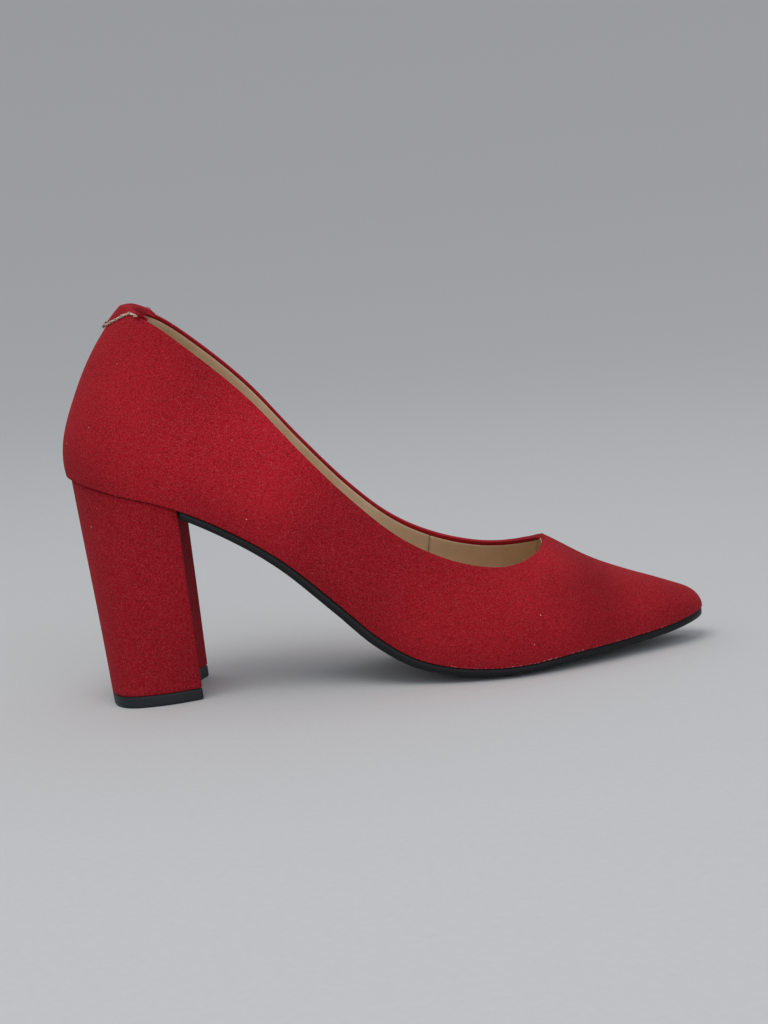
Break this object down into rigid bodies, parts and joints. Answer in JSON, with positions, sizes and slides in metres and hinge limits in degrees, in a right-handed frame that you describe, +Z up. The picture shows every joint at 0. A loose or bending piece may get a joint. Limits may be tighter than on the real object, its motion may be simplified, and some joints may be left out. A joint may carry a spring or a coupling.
{
  "type": "high heel pump",
  "caption": "Pointed high heel pump for the right foot: suede upper with a folded back tab, full lining and insole, thin outsole and a suede-covered block heel with a rubber tip.",
  "frame": {"origin": "on the floor, under the middle of the shoe's bounding box", "axes": "+X to the toe, +Y to the inner side of the foot, +Z up; the shoe stands level on its heel tip and forepart"},
  "size_m": [0.2382, 0.0794, 0.1488],
  "materials": {
    "red_suede": "brushed suede, matt",
    "textile": "matt woven",
    "stiffener": "matt impregnated sheet",
    "lining": "smooth, low sheen",
    "sock": "smooth, low sheen",
    "foam": "matt foam",
    "board": "matt cellulose board",
    "steel": "plain",
    "brass": "plain",
    "cork": "matt",
    "black_sole": "smooth, satin",
    "moulded_plastic": "matt",
    "black_rubber": "matt"
  },
  "bodies": {
    "root": {"upper": "red_suede", "back_tab": "red_suede", "heel_cover": "red_suede", "interlining": "textile", "topline_tape": "textile", "toe_puff": "stiffener", "heel_counter": "stiffener", "vamp_lining": "lining", "quarter_lining": "lining", "heel_grip": "lining", "sock_lining": "sock", "sock_foam": "foam", "heel_pad": "foam", "insole_board_back": "board", "insole_board_front": "board", "steel_shank": "steel", "bottom_filler": "cork", "outsole": "black_sole", "heel_block": "moulded_plastic", "top_piece": "black_rubber", "shank_rivet_rear": "brass", "shank_rivet_front": "brass", "heel_nail_1": "steel", "heel_nail_2": "steel", "heel_nail_3": "steel", "heel_nail_4": "steel", "heel_screw": "steel", "top_piece_pin_1": "steel", "top_piece_pin_2": "steel"}
  },
  "joints": []
}
